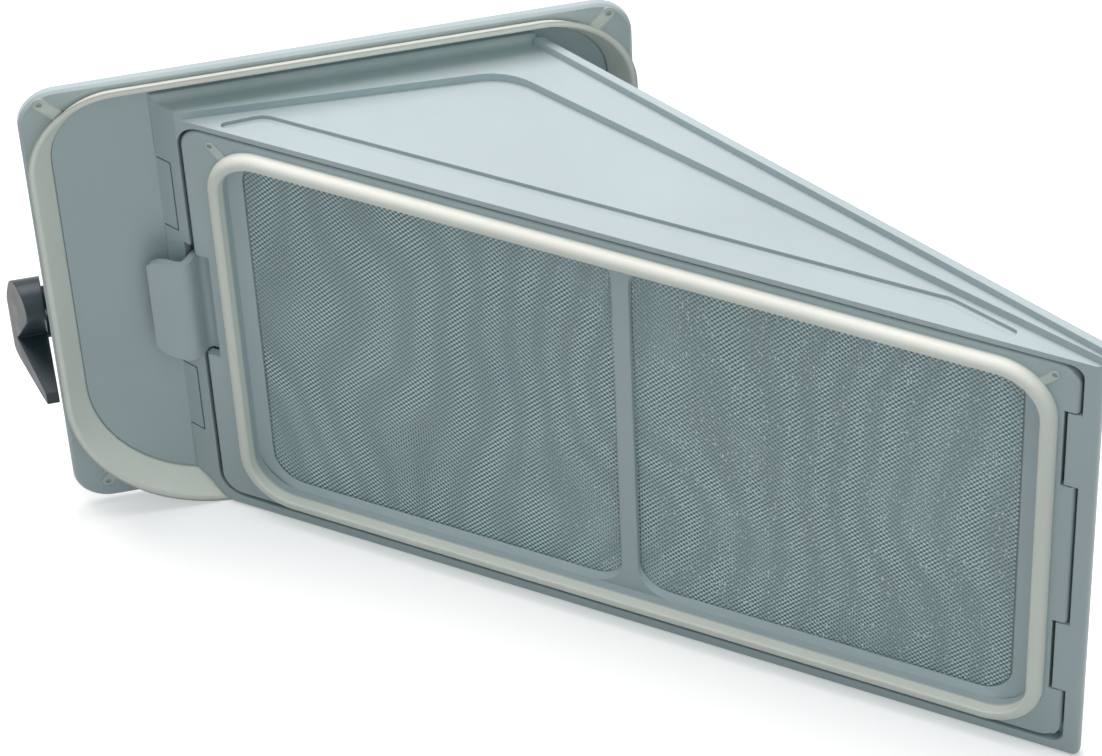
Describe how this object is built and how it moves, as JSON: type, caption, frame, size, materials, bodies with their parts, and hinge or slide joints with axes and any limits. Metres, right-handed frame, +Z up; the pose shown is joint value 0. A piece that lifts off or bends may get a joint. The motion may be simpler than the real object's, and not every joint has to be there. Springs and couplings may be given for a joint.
{
  "type": "tumble dryer lint filter",
  "caption": "Wedge-shaped pull-out lint filter: rounded plate with lip gasket, hinged mesh door with soft bead and finger tab, and a bail handle.",
  "frame": {"origin": "centre of the plate's inner face", "axes": "+X out of the plate's inner face towards the wedge's tip, +Y along the plate's width towards the tip's side, +Z up"},
  "size_m": [0.1698, 0.2257, 0.1324],
  "materials": {
    "grey_plastic": "fine satin moulded surface",
    "pale_rubber": "matte soft",
    "mesh_fabric": "fine woven monofilament",
    "dark_plastic": "satin moulded surface"
  },
  "bodies": {
    "housing": {"front_plate": "grey_plastic", "plate_gasket": "pale_rubber", "filter_body": "grey_plastic"},
    "door": {"filter_door": "grey_plastic", "filter_mesh": "mesh_fabric", "door_seal": "pale_rubber"},
    "bail": {"handle": "dark_plastic"}
  },
  "joints": [
    {"name": "door_hinge", "type": "hinge", "parent": "housing", "child": "door", "pos_m": [0.13696, 0.13871, 0], "axis": [0, 0, 1], "range_deg": [0, 95]},
    {"name": "handle_pivot", "type": "hinge", "parent": "housing", "child": "bail", "pos_m": [-0.0125, 0, -0.007], "axis": [0, 1, 0], "range_deg": [0, 80]}
  ]
}
